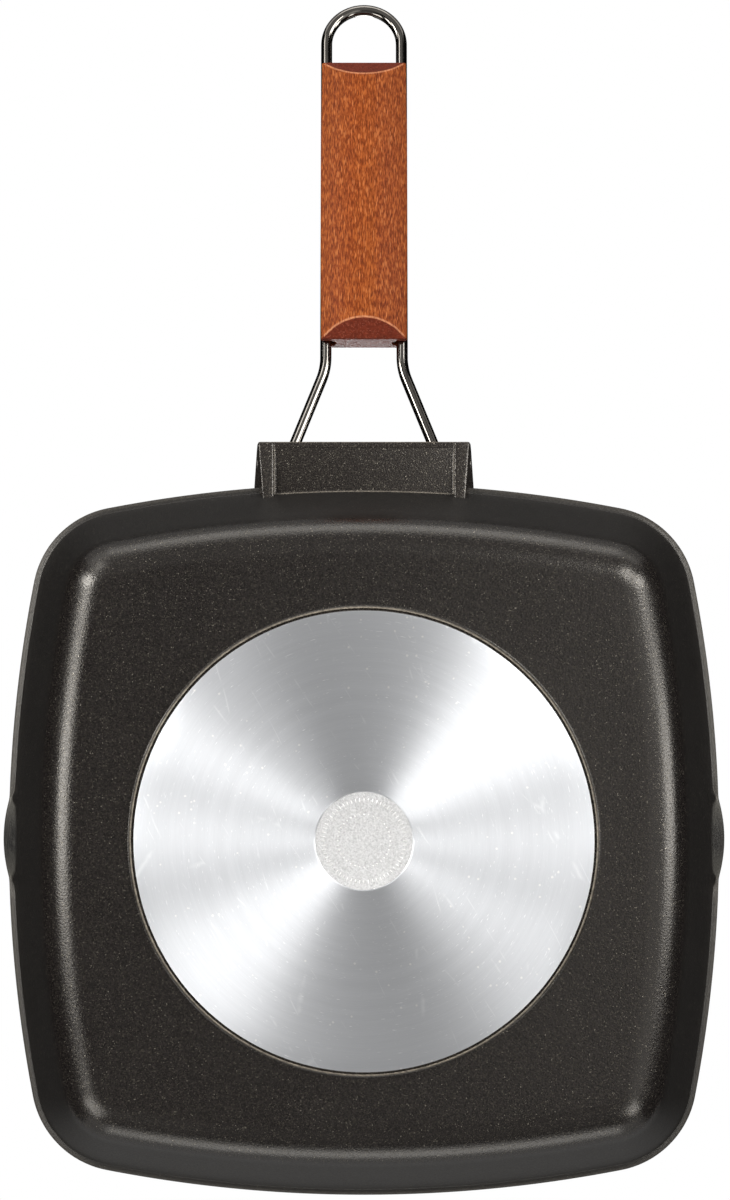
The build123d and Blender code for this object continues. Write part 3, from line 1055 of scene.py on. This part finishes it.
def wire_path():
    """The wire's centreline in the handle's flat frame."""
    end_x = lug_tip_half - lug_tip_inset / 2
    loop_y = handle_reach - wire_radius - grip_leg_spread
    hinge_corner, leg_corner = (hinge_leg_spread, 0), (grip_leg_spread, leg_bend_distance)
    half = [(end_x, 0), (straight_end_x, 0)]
    half += rounded_corner((end_x, 0), hinge_corner, leg_corner, hinge_bend_radius, 14)
    half += rounded_corner(hinge_corner, leg_corner, (grip_leg_spread, loop_y), leg_bend_radius, 12)
    half += [(grip_leg_spread, along) for along in on_the_way(leg_bend_distance, loop_y, 4)[:-1]]
    loop = arc((0, loop_y), grip_leg_spread, 0, 180, 48)
    return [Vector(point) for point in half + loop + [(-x, y) for x, y in reversed(half)]]


def wire():
    """The bent wire, round in section, its two ends chamfered."""
    path, chamfer = wire_path(), Vector((wire_end_chamfer, 0))
    path = [path[0], path[0] - chamfer] + path[1:-1] + [path[-1] + chamfer, path[-1]]
    rings = []
    for before, point, after in zip(path[:1] + path, path, path[1:] + path[-1:]):
        tangent = (after - before).normalized()
        radius = wire_radius - (wire_end_chamfer if point in (before, after) else 0)
        across = Vector((-tangent.y, tangent.x)) * radius
        rings.append([on_handle(*(point + across * cos(angle)), radius * sin(angle))
                      for angle in round_angles(wire_steps)])
    mesh = skin("handle_wire", [[on_handle(*path[0], 0)]] + rings + [[on_handle(*path[-1], 0)]])
    mesh.set_sharp_from_angle(angle=radians(35))
    return mesh


# Wood grip

def grip_section():
    """Half of the grip's section as (x, z), from the top middle round the +x side."""
    crown_radius = (grip_half_width**2 + crown_rise**2) / (2 * crown_rise)
    groove = wire_radius + groove_clearance
    centre = groove_floor + groove
    upper = [(x, sqrt(crown_radius**2 - x**2) - crown_radius + grip_half)
             for x in on_the_way(0, grip_half_width, 14)[:-1]]
    upper += [(grip_half_width, z) for z in (grip_half_side, (grip_half_side + groove) / 2, groove)]
    upper += [(centre, groove)] + arc((centre, 0), groove, 90, 180, 6)[1:-1]
    return upper + [(groove_floor, 0)] + [(x, -z) for x, z in reversed(upper)]


def end_slope(z):
    """How far the sloped end stands back, at one height off the middle."""
    return max(0, abs(z) - grip_half_side) / crown_rise * grip_end_slope


def grip_wear(point):
    """Paler, rubbed edges where the sloped ends meet the faces."""
    out, up = point.y - hinge_y, point.z - hinge_z
    along = out * cos(handle_rise) + up * sin(handle_rise) - grip_near_distance
    above = up * cos(handle_rise) - out * sin(handle_rise)
    from_end = min(along, grip_length - along) - end_slope(above)
    return 1 if -0.2 < from_end < 0.5 and abs(above) > grip_half_side + 0.5 else 0


def grip():
    """The wood grip: crowned faces, side grooves, ends sloped above and below."""
    half = grip_section()
    section = [(0, grip_half)] + half + [(0, -grip_half)] + [(-x, z) for x, z in reversed(half)]
    rings = []
    for share in [0] + on_the_way(0, 1, grip_steps):
        ring = []
        for x, z in section:
            along = end_slope(z) + (grip_length - 2 * end_slope(z)) * share
            from_middle = (2 * along / grip_length - 1) ** 2
            shrink = 1 - grip_side_bulge * from_middle / grip_half_width if abs(x) > groove_floor + 2 else 1
            ring.append(on_handle(x * shrink, grip_near_distance + along, z))
        rings.append(ring)
    order = list(range(len(section)))
    first, second = section.index((grip_half_width, grip_half_side)), section.index((grip_half_width, -grip_half_side))
    third, fourth = len(section) - second, len(section) - first
    caps = (order[fourth:] + order[:first + 1], order[first:second + 1] + order[third:fourth + 1],
            order[second:third + 1])
    mesh = skin("handle_grip", rings, caps)
    mesh.set_sharp_from_angle(angle=radians(25))
    mesh = bevelled(mesh, grip_edge_rounding, 3, 25, harden_normals=True)
    store_share(mesh, "edge", grip_wear)
    return mesh


show("pan_casting", casting(), "pan", [outside_coating, cooking_coating], ["pan_body"])
show("cooking_ribs", ribs(), "pan", [cooking_coating])
show("handle_lug", lug(), "pan", [lug_coating])
show("turned_disc", disc(), "pan", [disc_metal, round_metal, outside_coating],
               ["base_disc"])
show("round_outer_marks", mark_ring(60, 14.6, 1.6, 0.5), "pan", [mark_metal])
show("round_inner_marks", mark_ring(36, 9.4, 0.7, 0.7), "pan", [mark_metal])
show("wire_handle", wire(), "handle", [wire_plate], ["handle_wire"])
show("wood_grip", grip(), "handle", [grip_wood], ["handle_grip"])


# Studio

def pale_floor(tree):
    """Pale matt paper, seen only from above."""
    paper = put(tree, "BsdfDiffuse", {"Color": (0.86, 0.86, 0.86, 1)})
    under = put(tree, "NewGeometry")["Backfacing"]
    return put(tree, "MixShader", {0: under, 1: paper, 2: put(tree, "BsdfTransparent")})


def studio_card(name, middle, facing, width, height, material, unseen_by):
    """A flat card or floor that lights and shades nothing directly."""
    turn = Vector(facing).to_track_quat("Z", "Y").to_matrix()
    mesh = bpy.data.meshes.new(name)
    corners = [Vector(middle) + turn @ Vector((x * width / 2, y * height / 2, 0))
               for x, y in ((-1, -1), (1, -1), (1, 1), (-1, 1))]
    mesh.from_pydata(corners, [], [(0, 1, 2, 3)])
    mesh.materials.append(material)
    card = added(name, mesh)
    for rays in ("diffuse", "transmission", "shadow", unseen_by):
        setattr(card, "visible_" + rays, False)


def reflection_cards():
    """Grey and dark cards round the pan, seen only in reflections."""
    low, side, high, dark = -1.7, 2.4, 1.8, 0.008
    up, down, near, far = (0, 0, 1), (0, 0, -1), (0, -1, 0), (0, 1, 0)
    for name, middle, facing, width, height, level in (  # the level is that of its light
            ("card_behind_camera", (0, 0, low), up, 1.2, 1.2, 0.2),
            ("card_behind_right", (-0.45, 0.15, low + 0.02), up, 0.6, 0.9, 1),
            ("card_right", (-1.5, 0, low), up, 1.8, 1.8, 0.85),
            ("card_top", (0, 1.5, low), up, 1.8, 1.8, 0.45),
            ("card_bottom", (0, -1.5, low), up, 1.8, 1.8, 0.3),
            ("card_far_low", (0, side, -1.3), near, 4.8, 1, 0.35),
            ("card_far", (0, side, -0.3), near, 4.8, 1, 1.6),
            ("card_far_above", (0, side, 1), near, 4.8, 1.6, 0.45),
            ("card_near_low", (0, -side, -1.3), far, 4.8, 1, 0.12),
            ("card_near", (0, -side, -0.3), far, 4.8, 1, 0.8),
            ("card_near_above", (0, -side, 1), far, 4.8, 1.6, 0.45),
            ("card_above_near", (0, -1.7, high - 0.01), down, 4.8, 1.4, 0.28),
            ("dark_ground", (0, 0, low - 0.1), up, 4.8, 4.8, dark),
            ("dark_left", (side, 0, 0), (-1, 0, 0), 4.8, 3.6, dark),
            ("dark_right", (-side, 0, 0), (1, 0, 0), 4.8, 3.6, dark),
            ("dark_above", (0, 0, high), down, 4.8, 4.8, dark)):
        glow = {"Color": (1, 1, 1, 1), "Strength": level}
        material = surfaced(name, lambda tree: put(tree, "Emission", glow))
        studio_card(name, middle, facing, width, height, material, "camera")


def studio_world():
    """White to the eye and in reflections, even light from above on the object."""
    world = bpy.data.worlds.new("Studio")
    bpy.context.scene.world = world
    tree = cleared_tree(world)
    rays = put(tree, "LightPath")
    mirrored = calc("MAXIMUM", rays["Is Glossy Ray"], rays["Is Transmission Ray"])
    seen = calc("MAXIMUM", rays["Is Camera Ray"], mirrored)
    from_above = fit(parts_of(put(tree, "TexCoord")["Generated"])[2], 0, 0.5, 0, 0.6)
    level = put(tree, "Mix", {0: seen, 2: from_above, 3: 1})
    put(tree, "OutputWorld", {0: put(tree, "Background", {"Color": (1, 1, 1, 1), "Strength": level})})


lamps_aim, lamp_distance = Vector((0, 0.04, 0.03)), 1.4  # metres


def soft_lamp(name, bearing, off_axis, width, height, power):
    """A soft rectangular lamp that faces the pan.

    Its bearing is seen in the picture, in degrees from the right, and its angle is off the camera's axis."""
    data = bpy.data.lights.new(name, "AREA")
    data.shape, data.size, data.size_y, data.energy = "RECTANGLE", width, height, power
    turn, lift = radians(bearing), radians(off_axis)
    away = Vector((-sin(lift) * cos(turn), sin(lift) * sin(turn), -cos(lift)))
    lamp = added(name, data)
    lamp.location = lamps_aim + away * lamp_distance
    lamp.rotation_mode = "QUATERNION"
    lamp.rotation_quaternion = away.to_track_quat("Z", "Y")


def photograph_camera():
    """The camera under the pan, looking up at the middle of the picture."""
    rim_scale = 0.3668  # millimetres per pixel at the rim
    picture_height, right_of_middle, below_middle = 1200, -1, 238  # pixels; where the pan's middle lies in it
    towards_handle, distance = 37, 1600  # the camera's place off the pan's middle and the rim's plane
    eye = Vector((0, towards_handle, rim_height - distance))
    aim = Vector((right_of_middle * rim_scale, below_middle * rim_scale, rim_height))
    data = bpy.data.cameras.new("photograph")
    data.sensor_width = 36
    data.lens = data.sensor_width * (aim - eye).length / (picture_height * rim_scale)
    data.clip_start, data.clip_end = 0.05, 50
    forward = (aim - eye).normalized()
    right = forward.cross(Vector((0, 1, 0))).normalized()
    place = Matrix((right, right.cross(forward), -forward)).transposed().to_4x4()
    place.translation = eye * MM
    camera = added("photograph", data)
    camera.matrix_world = place
    bpy.context.scene.camera = camera


studio_card("floor", (0, 0, -0.0001), (0, 0, 1), 6, 6, surfaced("Pale floor", pale_floor), "glossy")
reflection_cards()
studio_world()
for lamp in (  # name, bearing, angle off the axis, width, height, power
        ("left_lamp", 180, 54, 0.26, 0.6, 7.2),
        ("left_corner_lamp", 128, 60, 0.28, 0.5, 2.2),
        ("left_upper_lamp", 155, 56, 0.26, 0.54, 9.4),
        ("left_outer_lamp", 155, 66, 0.28, 0.6, 3.4),
        ("left_lower_lamp", 222, 54, 0.6, 0.6, 6.2),
        ("right_lamp", 0, 65, 0.28, 0.6, 6),
        ("right_upper_lamp", 25, 55, 0.28, 0.6, 8),
        ("right_high_lamp", 46, 42, 0.28, 0.6, 7),
        ("right_lower_lamp", -46, 55, 0.28, 0.6, 3.6),
        ("far_lamp", 90, 88, 0.9, 0.5, 2.8),
        ("near_lamp", 270, 88, 0.9, 0.5, 3.4),
        ("overhead_lamp", 270, 165, 0.4, 0.5, 12)):
    soft_lamp(*lamp)
photograph_camera()
bpy.context.scene.view_settings.view_transform = "Standard"
